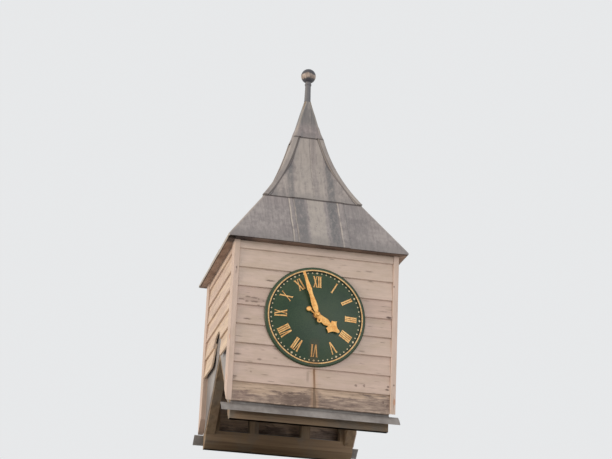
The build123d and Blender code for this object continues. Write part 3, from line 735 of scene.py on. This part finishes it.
def lead_ring(half, up, pitch, proud, rounding, columns, drop=None):
    """A level line round the spire: each point with its face, place across and share of a hip's turn."""
    ring = []
    for quarter in range(4):
        turn = quarter_turn(quarter)
        places = [(across, 0.0) for across in columns(half - rounding)]
        places += [(half - rounding, (step + 1) / CORNER_STEPS) for step in range(CORNER_STEPS - 1)]
        for across, hip in places:
            sideways = math.sin(math.radians(90 * hip))
            forward = math.cos(math.radians(90 * hip))
            dent = DENT * waver(across * 6, up * 6, 3.0 * quarter)
            dent += FINE_DENT * waver(across * 21, up * 15, quarter)
            lift = proud(across, up, hip) + (0.0 if hip else dent)
            point = Vector((across + rounding * sideways, -half + rounding * (1 - forward), up))
            normal = Vector((sideways * math.sin(pitch), -forward * math.sin(pitch), math.cos(pitch)))
            point += normal * lift
            if drop:
                point.z += drop(across, quarter)
            point.x = min(EAVES_HALF, point.x)
            point.y = max(-EAVES_HALF, point.y)
            ring.append((turn @ point, quarter, across, hip))
    return ring


def soft_step(value, low, high):
    """0 below the first limit, 1 over the second, a smooth step between."""
    share = min(1.0, max(0.0, (value - low) / (high - low)))
    return share * share * (3 - 2 * share)


def flat(across, up, hip):
    """A sheet that stands proud of nothing."""
    return 0.0


def sheet_proud(across, up, hip):
    """The lowest tier's middle sheets stand a sheet proud of the ones at its corners."""
    inside = SEAM_LEFT < across < SEAM_RIGHT and not hip
    return LEAD if inside and up < KNEE_Z + 0.01 else 0.0


def lapped(low):
    """A tier whose foot laps over the one below, over its sheets and over the cappings too."""
    def proud(across, up, hip):
        over_sheet = 0.0
        if low < KNEE_Z + 0.01 and not hip:
            over_sheet = LEAD * soft_step(across, SEAM_LEFT - EASE, SEAM_LEFT)
            over_sheet *= 1 - soft_step(across, SEAM_RIGHT, SEAM_RIGHT + EASE)
        flare = 0.0
        if low == UPPER_LAP_Z and (hip or abs(across) > spire_station(up)[0] - CAPPED):
            flare = FLARE * (1 - soft_step(up, low, low + FLARE_HIGH))
        shoulder = 1 - soft_step(up, low + LAP, low + LAP + LAP_SHOULDER)
        return (LEAD + over_sheet) * shoulder + flare
    return proud


def edge_wave(size, step=0.0):
    """How a free edge wavers; the eaves also step down at each seam and hang lower on the left."""
    def drop(across, quarter):
        hang = 0.0
        for seam in (SEAM_LEFT, SEAM_RIGHT):
            hang += step * soft_step(across, seam, seam + 0.004)
        if step and quarter == LEFT_FACE:
            hang += LEFT_LIP * soft_step(across, -0.49, -0.44) * (1 - soft_step(across, 0.45, 0.49))
        wave = waver(across * 7, quarter * 5.0, 2.0) + 0.3 * waver(across * 30, quarter, 6.0)
        return size * wave - hang
    return drop


def turn_down(outside, inside, rounding, columns, drip):
    """The lowest tier's edge turned down over the eaves, in place of the plain one."""
    upright = math.pi / 2
    outside[:1] = [lead_ring(EAVES_HALF - LIP_IN, up, upright, flat, rounding, columns, drip)
                   for up in (LIP_FOOT, LIP_BEND)]
    outside.insert(2, lead_ring(EAVES_HALF, EAVES_Z - 0.001, LOW_PITCH, flat, rounding, columns))
    inside[-1:] = [lead_ring(EAVES_HALF - LEAD, EAVES_Z, upright, flat, rounding, columns),
                   lead_ring(EAVES_HALF - LEAD, LIP_FOOT, upright, flat, rounding, columns, drip)]


def dressed_tier(name, node, low, high, proud, columns, rounding, drip, lead):
    """A closed skin of sheet lead: outside up from its lower edge, inside down again."""
    mesh = bmesh.new()
    place_across = mesh.verts.layers.float.new("across")
    which_face = mesh.verts.layers.float.new("face")
    from_hip = mesh.verts.layers.float.new("from_hip")

    def under(across, up, hip):
        return proud(across, up, hip) - LEAD

    def level_lines(heights, stand):
        for up in heights:
            half, pitch = spire_station(up)
            yield lead_ring(half, up, pitch, stand, rounding(up), columns, drip if up == low else None)

    outside = list(level_lines(between_stations(low, high), proud))
    inside = list(level_lines((high, (low + high) / 2, low), under))
    if low == EAVES_Z:
        turn_down(outside, inside, rounding(low), columns, drip)
    made = []
    for ring in outside + inside:
        made.append([])
        for point, quarter, across, hip in ring:
            vert = mesh.verts.new(point)
            vert[place_across] = across + FACE_SHIFTS[quarter]
            vert[from_hip] = 0.0 if hip else spire_station(point.z)[0] - abs(across)
            vert[which_face] = quarter
            made[-1].append(vert)
    for first, second in zip(made, made[1:] + made[:1]):
        band(mesh, first, second)
    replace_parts(piece(name, mesh, lead), node)


def sheet_lead(name, dull, bright, folded=False):
    """Sheet lead streaked down its slope; a folded strip gets painted shade along its edges and under the
    lap.
    """
    lead = Finish(name)
    streaks = lead.noise((30, 30, 2.6), detail=5, roughness=0.62)
    cloud = lead.noise((4.5, 4.5, 4.0), detail=4)
    speck = lead.noise((110, 110, 70), detail=3)
    colour = lead.ramp(streaks * 0.3 + cloud * 0.7, (0.40, dull), (0.60, bright))
    colour = lead.shade(colour, 0.93 + speck * 0.14)
    if folded:
        # Painted shade along the strip's edges, and painted shadow under the lap of the tier above.
        capping_edge_shade = lead.attribute("wing").above(0.86, 0.92) * 0.7
        shaded = lead.along("Z").above(UPPER_LAP_Z - LAP_SHADE, UPPER_LAP_Z - LAP_SHADE * 0.55)
        colour = lead.mix(capping_edge_shade.most(shaded * 0.8), colour, tone(78, 70, 68))
    lead.bump(cloud * 0.6 + speck * 0.4, 0.3, 0.0015)
    return lead.done(Base_Color=colour, Roughness=0.42 + streaks * 0.2)


def spire_lead(name, dull, aloft, bright, pale, dark, chalk, foot, lap=0.0, capping_shadow_from=0.0):
    """Sheet lead on a spire face: pale and dark runs at places across it, and chalky seams.

    Dull and bright are pairs of colours, and the bright ones take over between the two heights aloft.
    Painted shadow lies beside the seams, under the lap above and beside the cappings, and painted
    sunlight on the left face's eaves lip.
    """
    lead = Finish(name)
    across = lead.attribute("across")
    face = lead.attribute("face")
    height = lead.along("Z")
    sheet = lead.node("ShaderNodeCombineXYZ", {}, {0: across, 1: face * 7.3, 2: height})

    def over_sheet(scale, detail, roughness=0.6):
        point = lead.node("ShaderNodeMapping", {}, {"Vector": sheet, "Scale": scale})
        inputs = {"Vector": point, "Scale": 1.0, "Detail": detail, "Roughness": roughness}
        return lead.node("ShaderNodeTexNoise", {}, inputs)

    wander = over_sheet((7, 1, 8), 4)
    streaks = over_sheet((62, 1, 4.2), 5, 0.65)
    fine = over_sheet((190, 1, 11), 3)
    mottle = over_sheet((46, 1, 30), 5, 0.68)
    speck = over_sheet((150, 1, 120), 3)
    blotches = over_sheet((52, 1, 26), 5, 0.72).above(0.47, 0.60)
    place = across + (wander - 0.5) * 0.035
    ragged = (streaks - 0.5) * 1.2 + (mottle - 0.5) * 2.0
    cast = wander * 0.25 + streaks * 0.25 + mottle * 0.40 + fine * 0.10
    colour = lead.ramp(cast, (0.42, dull[0]), (0.57, dull[1]))
    upper = lead.ramp(streaks * 0.6 + fine * 0.4, (0.40, bright[0]), (0.60, bright[1]))
    colour = lead.mix(height.above(*aloft), colour, upper)
    for left, right, strength in pale:
        run = (place.between(left, right, 0.012) * 0.8 + ragged * 0.6).above(0.25, 0.95) * strength
        colour = lead.mix(run, colour, tone(176, 167, 158))
    for left, right, bottom, top, strength in dark:
        run = place.between(left, right, 0.010) * height.between(bottom, top, 0.06)
        run = (run * 0.9 + ragged).above(0.30, 1.00) * place.between(left, right, 0.02) * strength
        colour = lead.mix(run * (1 - blotches * 0.6), colour, tone(100, 100, 101))
    # Paler along the hips, and chalky salts along the seams.
    pale_hips_and_salts = (1 - lead.attribute("from_hip").above(0.004, 0.016)) * 0.35
    for seam, wide, strength in chalk:
        line = across + (wander - 0.5) * 0.016 - seam
        broken = (mottle + blotches * 0.2).above(0.38, 0.62)
        pale_hips_and_salts = pale_hips_and_salts.most((1 - abs(line).above(wide * 0.4, wide)) * strength * (0.25 + broken * 0.75))
        shadow = 1 - abs(line + wide * 1.5).above(wide * 0.4, wide)
        colour = lead.mix(shadow * strength * 0.55, colour, tone(100, 94, 94))
    # Painted sunlight on the left face's eaves lip, in the same pale colour as the hips and salts.
    left_face = face.above(LEFT_FACE - 0.6, LEFT_FACE - 0.4)
    sunlit_lip = left_face * (1 - height.above(EAVES_Z - 0.002, EAVES_Z + 0.004))
    colour = lead.mix(pale_hips_and_salts.most(sunlit_lip) * 0.8, colour, tone(204, 192, 176))
    splashed = (1 - height.above(foot, foot + 0.05)) * 0.40 * (0.4 + mottle)
    colour = lead.mix(splashed, colour, tone(118, 114, 113))
    # Painted shadow under the lap of the tier above.
    if lap:
        shaded = (height + (wander - 0.5) * 0.004).above(lap - LAP_SHADE, lap - LAP_SHADE * 0.55)
        colour = lead.mix(shaded * 0.8, colour, tone(70, 62, 60))
    # Painted shadow on the sheet beside each hip capping.
    if capping_shadow_from:
        line = lead.attribute("from_hip") + (wander - 0.5) * 0.006
        colour = lead.mix(line.between(capping_shadow_from, capping_shadow_from + 0.007, 0.002) * 0.75, colour, tone(84, 76, 76))
    chips = over_sheet((60, 1, 60), 2).above(0.68, 0.73)
    colour = lead.mix(chips * 0.55, colour, tone(92, 88, 88))
    colour = lead.shade(colour, 0.92 + speck * 0.16)
    lead.bump(wander * 0.5 + mottle * 0.3 + speck * 0.2, 0.35, 0.0018)
    return lead.done(Base_Color=colour, Roughness=0.46 + streaks * 0.22)


lower_lead = spire_lead(
    "lower_tier_lead", (tone(124, 117, 117), tone(160, 152, 149)),
    aloft=(1.20, 1.30), bright=(tone(128, 120, 120), tone(156, 147, 144)),
    pale=((-0.046, 0.060, 0.75),),
    dark=((-0.122, -0.050, 0.9, 1.40, 0.75), (0.070, 0.130, 0.9, 1.40, 0.90),
          (0.160, 0.300, 0.9, 1.40, 0.25)),
    chalk=((-0.139, 0.0045, 0.85), (-0.113, 0.0030, 0.40),
           (0.136, 0.0045, 0.75), (0.168, 0.0030, 0.35)),
    foot=EAVES_Z + 0.02, lap=KNEE_Z)
middle_lead = spire_lead(
    "middle_tier_lead", (tone(130, 123, 121), tone(168, 158, 152)),
    aloft=(1.45, 1.70), bright=(tone(130, 122, 118), tone(162, 151, 146)),
    pale=((-0.092, 0.010, 0.50), (0.040, 0.080, 0.45)),
    dark=((-0.138, -0.098, 1.2, 1.60, 0.80), (0.086, 0.134, 1.2, 1.66, 0.85),
          (0.011, 0.018, 1.2, 1.75, 0.60), (0.028, 0.036, 1.2, 1.75, 0.65),
          (-0.30, -0.20, 1.2, 1.40, 0.40)),
    chalk=((0.009, 0.0022, 0.45),),
    foot=KNEE_Z + 0.01, lap=UPPER_LAP_Z, capping_shadow_from=0.031)
upper_lead = spire_lead(
    "upper_tier_lead", (tone(124, 115, 114), tone(158, 147, 145)),
    aloft=(1.80, 1.90), bright=(tone(104, 101, 100), tone(126, 121, 119)),
    pale=((0.000, 0.012, 0.40),),
    dark=((0.020, 0.034, 1.7, 1.95, 0.60), (-0.045, -0.028, 1.7, 2.0, 0.60)),
    chalk=(),
    foot=UPPER_LAP_Z + 0.01)


def rounder_to_neck(up):
    """The hips' rounding in the upper tier, which grows until the sheet meets the round neck."""
    return HIP_ROUND + (NECK_ROUND - HIP_ROUND) * soft_step(up, 1.90, NECK_Z)


dressed_tier("lower_tier", "lead_lower", EAVES_Z, KNEE_Z + LAP, sheet_proud, seam_columns,
             lambda up: EAVES_ROUND, edge_wave(EDGE_WAVE, SHEET_STEP), lower_lead)
dressed_tier("middle_tier", "lead_middle", KNEE_Z, UPPER_LAP_Z + LAP, lapped(KNEE_Z), plain_columns,
             lambda up: HIP_ROUND, edge_wave(EDGE_WAVE), middle_lead)
dressed_tier("upper_tier", "lead_upper", UPPER_LAP_Z, NECK_Z, lapped(UPPER_LAP_Z), plain_columns,
             rounder_to_neck, edge_wave(TOP_EDGE_WAVE), upper_lead)


# Hip cappings
# Narrow strips of the same lead, folded over the four hips of the middle tier and dressed down on each
# side. The tier above laps over their heads, and painted shade darkens their edges and heads.

CAPPING_WIDE = 0.030
CAPPING_WAVE = 0.05
CAPPING_PROUD = 0.0076
CAPPING_SEAT = 0.0008
CAPPING_ROUND = 0.007
WING_STEPS = 3
FOLD_STEPS = 5


def capping_line(half, up, pitch, lift, seed):
    """From the edge of one wing over the fold to the edge of the other, at the front left hip."""
    out = half + lift * math.sin(pitch)
    level = up + lift * math.cos(pitch)
    wing = CAPPING_WIDE * (1 + CAPPING_WAVE * waver(up * 8, seed, 0.0))
    flats = [(wing - CAPPING_ROUND) * step / WING_STEPS for step in range(WING_STEPS + 1)]
    line = [(wing - flat_part, 0.0) for flat_part in flats]
    for step in range(1, FOLD_STEPS):
        angle = math.radians(90 * step / FOLD_STEPS)
        line.append((CAPPING_ROUND * (1 - math.sin(angle)), CAPPING_ROUND * (1 - math.cos(angle))))
    line += [(0.0, CAPPING_ROUND + flat_part) for flat_part in flats]
    return [Vector((x - out, y - out, level)) for x, y in line]


capping_mesh = bmesh.new()
for hip in range(4):
    turn = quarter_turn(hip)
    rings = []
    for up in between_stations(KNEE_Z + 0.001, UPPER_LAP_Z - 0.001):
        half, pitch = spire_station(up)
        outside = capping_line(half, up, pitch, CAPPING_PROUD, 4.0 * hip)
        inside = capping_line(half, up, pitch, CAPPING_SEAT, 4.0 * hip)
        rings.append([turn @ point for point in outside + list(reversed(inside))])
    loft(capping_mesh, rings)
over_wing = capping_mesh.verts.layers.float.new("wing")
for vert in capping_mesh.verts:
    vert[over_wing] = abs(abs(vert.co.x) - abs(vert.co.y)) / CAPPING_WIDE
capping_lead = sheet_lead("capping_lead", tone(134, 126, 123), tone(164, 155, 148), folded=True)
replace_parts(piece("hip_cappings_dressed", capping_mesh, capping_lead), "hip_cappings")


# Lead at the foot of the walls
# Sheet lead aprons tucked behind the lowest boards and dressed down the tiles at front and back, and
# upstands along the slope behind the side boards. Their free edges have lifted and waved.

APRON_HALF = HALF + 0.0225
APRON_STATION = 0.010
APRON_GAP = 0.0004
APRON_HEAD = 0.121
APRON_BEND = 0.0765
APRON_HEEL = 0.0045
APRON_MIDDLE_OUT = 0.028
APRON_MIDDLE = 0.0555
APRON_TIP_OUT = 0.0500
APRON_TIP = 0.0300
APRON_RAGGED = 0.0018


def apron_section(along, seed):
    """The apron's section: upright behind the boards, a bend, and down the slope to a wavering edge."""
    head = APRON_HEAD if abs(along) < FRAME_FACE else APRON_BEND + APRON_HEEL
    wave = 0.0016 * waver(along * 9, seed, 0.0) + 0.0008 * waver(along * 31, seed, 4.0)
    shorter = APRON_RAGGED * (1 + waver(along * 5, seed, 8.0))
    bottom = APRON_TIP + shorter + max(0.0, wave)
    tip = APRON_TIP_OUT - shorter
    middle = APRON_MIDDLE + wave
    points = [(APRON_GAP, APRON_BEND), (APRON_GAP, head), (LEAD, head),
              (LEAD + 0.0003, APRON_BEND + APRON_HEEL), (APRON_MIDDLE_OUT, middle + 0.0035),
              (tip, bottom + 0.0036), (tip - 0.0004, bottom), (APRON_MIDDLE_OUT, middle)]
    return [wall_point(along, out, up) for out, up in points]


foot_lead = sheet_lead("foot_lead", tone(122, 116, 113), tone(160, 155, 151))
for quarter, side in ((0, "front"), (2, "back")):
    apron = bmesh.new()
    steps = round(2 * APRON_HALF / APRON_STATION)
    places = [APRON_HALF * (2 * step / steps - 1) for step in range(steps + 1)]
    loft(apron, [apron_section(along, 7.0 + quarter) for along in places])
    bmesh.ops.rotate(apron, matrix=quarter_turn(quarter), verts=apron.verts)
    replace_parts(piece("apron_dressed_" + side, apron, foot_lead), "apron_" + side)
dress(foot_lead, "flashing_left", "flashing_right")


# Finial
# A turned neck covered in lead and a painted ball, fixed on the head of the mast. The ball's paint is
# pale brown round the middle, dark with patina above, and dark below as painted shade.

BALL_Z = 2.189
finial_paint = Finish("finial_paint")
soot = finial_paint.noise((34, 34, 50), detail=4)
level = finial_paint.along("Z") + (soot - 0.5) * 0.03
pale_middle = level.between(BALL_Z - 0.023, BALL_Z + 0.002, 0.006)
runs = finial_paint.noise((90, 90, 12), detail=3)
ball_colour = finial_paint.ramp(soot * 0.4 + runs * 0.6, (0.38, tone(118, 104, 96)),
                         (0.60, tone(180, 162, 148)))
# Dark patina above the pale band, and painted shade below it, in one colour.
ball_colour = finial_paint.mix(pale_middle, tone(68, 67, 72), ball_colour)
finial_paint.bump(soot, 0.2, 0.001)
dress(finial_paint.done(Base_Color=ball_colour, Roughness=0.30 + soot * 0.25), "finial_ball")
dress(sheet_lead("neck_lead", tone(82, 82, 86), tone(108, 106, 108)), "finial_neck")


# Dial
# A convex sheet-metal plate with a raised rounded rim, in dark green gloss, its ring, dots and numerals
# gilded on raised strokes that follow the dome.

DIAL_CENTRE = (0.0, 0.0, BOARD_FOOT + 0.492)
RIM_INNER = 0.252
RIM_OUTER = 0.276
DOT_CIRCLE = 0.242
RUN_LEFT = -0.026
RUN_RIGHT = 0.022
RUN_TOP = 0.470


def from_centre(finish):
    """How far a point of the dial lies from its centre."""
    off = finish.vectors("SUBTRACT", finish.place(), DIAL_CENTRE)
    return finish.vectors("LENGTH", finish.vectors("MULTIPLY", off, (1, 0, 1)), output="Value")


def below_hub(finish):
    """Where rusty water runs from the hub down over the lowest numeral."""
    drips = finish.noise((60, 60, 9), detail=4)
    across = finish.along("X") + (drips - 0.5) * 0.012
    below = 1 - finish.along("Z").above(RUN_TOP - 0.05, RUN_TOP)
    return across.between(RUN_LEFT, RUN_RIGHT, 0.012) * below


dial_paint = Finish("dial_green_paint")
film = dial_paint.noise((5, 5, 5), detail=5)
peel = dial_paint.noise((160, 160, 160), detail=2)
green = dial_paint.ramp(film * 0.7 + peel * 0.3, (0.38, tone(29, 53, 33)), (0.50, tone(42, 64, 41)),
                        (0.60, tone(52, 70, 46)))
reach = from_centre(dial_paint)
# Painted shade in the groove just inside the rim, and darker towards the rim's outer edge.
groove_shade_and_dark_edge = reach.between(RIM_INNER - 0.006, RIM_INNER, 0.0015)
groove_shade_and_dark_edge = groove_shade_and_dark_edge.most(reach.above(RIM_OUTER - 0.004, RIM_OUTER) * 0.5)
green = dial_paint.mix(groove_shade_and_dark_edge * (0.35 + film * 0.8), green, tone(22, 34, 28))
green = dial_paint.mix(below_hub(dial_paint) * (0.15 + film * 0.5), green, tone(84, 66, 44))
dial_paint.bump(peel, 0.1, 0.0005)
dial_paint.done(Base_Color=green, Roughness=0.30 + film * 0.22, Specular_IOR_Level=0.35)
dress(dial_paint.material, "dial_plate")


def gilding(name, deep, bright, worn, on_dial=True):
    """Gold leaf, tarnished, rubbed through to its brown size in places, and pale on the minute dots."""
    gilt = Finish(name)
    leaf = gilt.noise((55, 55, 55), detail=4)
    rubbed = gilt.noise((170, 170, 170), detail=3)
    colour = gilt.ramp(leaf, (0.34, deep), (0.60, bright))
    colour = gilt.mix(rubbed.above(0.48, 0.66) * worn, colour, tone(132, 96, 58))
    if on_dial:
        dots = from_centre(gilt).between(DOT_CIRCLE - 0.0045, DOT_CIRCLE + 0.0045, 0.001)
        colour = gilt.mix(dots * 0.65, colour, tone(204, 200, 172))
        colour = gilt.mix(below_hub(gilt) * (0.2 + leaf * 0.5), colour, tone(120, 74, 36))
    gilt.bump(leaf, 0.15, 0.0006)
    return gilt.done(Base_Color=colour, Roughness=0.32 + leaf * 0.22, Metallic=0.45)


dress(gilding("gilt_numerals", tone(200, 144, 84), tone(236, 190, 124), worn=0.45), "numerals")
dress(gilding("gilt_ring", tone(174, 133, 82), tone(208, 173, 120), worn=0.60), "minute_ring")


# Hands
# Cut from gilded plate, thickest along the middle, each on its own spindle. The minute hand's arbor
# turns in the hour hand's steel pipe, and the pipe in a steel bush through the dial.

gilt_hands = gilding("gilt_hands", tone(208, 144, 72), tone(236, 184, 110), worn=0.30, on_dial=False)
dress(gilt_hands, "hour_hand", "minute_hand", "minute_arbor")
steel = Finish("spindle_steel")
turning = steel.noise((40, 900, 40), detail=2)
metal = steel.ramp(turning, (0.35, tone(66, 62, 56)), (0.65, tone(104, 98, 90)))
steel.done(Base_Color=metal, Roughness=0.3 + turning * 0.2, Metallic=1.0)
dress(steel.material, "hour_pipe", "dial_bush")


# Stage
# A pale floor at the base, seen only from above, and a pale backdrop. A warm lamp far to the left and a
# whiter one far to the front right light it softly.

FLOOR_REACH = 30.0
floor_mesh = bmesh.new()
bmesh.ops.create_circle(floor_mesh, cap_ends=True, radius=FLOOR_REACH, segments=96)
floor_data = bpy.data.meshes.new("floor")
floor_mesh.to_mesh(floor_data)
floor_mesh.free()
floor = bpy.data.objects.new("floor", floor_data)
bpy.context.scene.collection.objects.link(floor)
floor_finish = Finish("floor_pale")
floor_mottle = floor_finish.noise((0.8, 0.8, 0.8))
floor_colour = floor_finish.ramp(floor_mottle, (0.3, (0.74, 0.74, 0.73)), (0.7, (0.78, 0.78, 0.77)))
floor_finish.done(Base_Color=floor_colour, Roughness=0.9)
behind = floor_finish.node("ShaderNodeNewGeometry", output="Backfacing")
clear = floor_finish.node("ShaderNodeBsdfTransparent")
solid = Socket(floor_finish, floor_finish.shader.outputs[0])
seen = floor_finish.node("ShaderNodeMixShader", {}, {0: behind, 1: solid, 2: clear})
floor_finish.join(seen, floor_finish.tree.nodes["Material Output"].inputs["Surface"])
floor_data.materials.append(floor_finish.material)
floor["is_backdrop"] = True

WORLD_LIGHT = 0.64
BACKDROP = (0.80, 0.81, 0.82)
world = bpy.data.worlds.new("studio")
world.use_nodes = True
bpy.context.scene.world = world
sky = Nodes(world.node_tree)
light = sky.node("ShaderNodeBackground", {}, {"Color": (0.96, 0.98, 1.0), "Strength": WORLD_LIGHT})
backdrop = sky.node("ShaderNodeBackground", {}, {"Color": BACKDROP})
seen_rays = [sky.node("ShaderNodeLightPath", output=ray)
             for ray in ("Is Camera Ray", "Is Glossy Ray", "Is Transmission Ray")]
studio = sky.node("ShaderNodeMixShader", {}, {0: strongest(seen_rays), 1: light, 2: backdrop})
sky.join(studio, sky.tree.nodes["World Output"].inputs["Surface"])

MIDDLE = Vector((0.0, 0.0, 1.1))


def soft_lamp(name, place, wide, strength, colour):
    """A lamp so far off that it lights floor and turret evenly, wide enough for soft shadows."""
    lamp = bpy.data.lights.new(name, "SUN")
    lamp.angle = math.radians(wide)
    lamp.energy = strength
    lamp.color = colour
    made = bpy.data.objects.new(name, lamp)
    made.location = place
    made.rotation_euler = (MIDDLE - Vector(place)).to_track_quat("-Z", "Y").to_euler()
    bpy.context.scene.collection.objects.link(made)


soft_lamp("key_lamp", (-6.8, -1.4, 2.8), 20, 1.75, (1.0, 0.86, 0.70))
soft_lamp("fill_lamp", (2.5, -6.5, 2.5), 32, 0.66, (1.0, 0.98, 0.98))


# Camera
# The onlooker stands below the turret and a little to its left, looking up at the dial. The camera's
# place, lens and tilt were fitted to the dial's numerals and the corners of the front wall.

STANDPOINT = Vector((-1.84973, -8.94094, -1.96668))
RIGHT = Vector((0.97484851, -0.21907466, 0.04094737))
UP = Vector((-0.11024081, -0.31431754, 0.94289525))
AHEAD = Vector((0.19369398, 0.92369409, 0.33056295))
view = bpy.data.cameras.new("onlooker")
view.sensor_width = 36.0
view.lens = 99.5
view.clip_end = 200.0
onlooker = bpy.data.objects.new("onlooker", view)
facing = Matrix((RIGHT, UP, -AHEAD)).transposed().to_4x4()
onlooker.matrix_world = Matrix.Translation(STANDPOINT) @ facing
bpy.context.scene.collection.objects.link(onlooker)
bpy.context.scene.camera = onlooker
bpy.context.scene.view_settings.view_transform = "Standard"

sizes = [[list(corner) for corner in box] for box in (cad_box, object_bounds())]
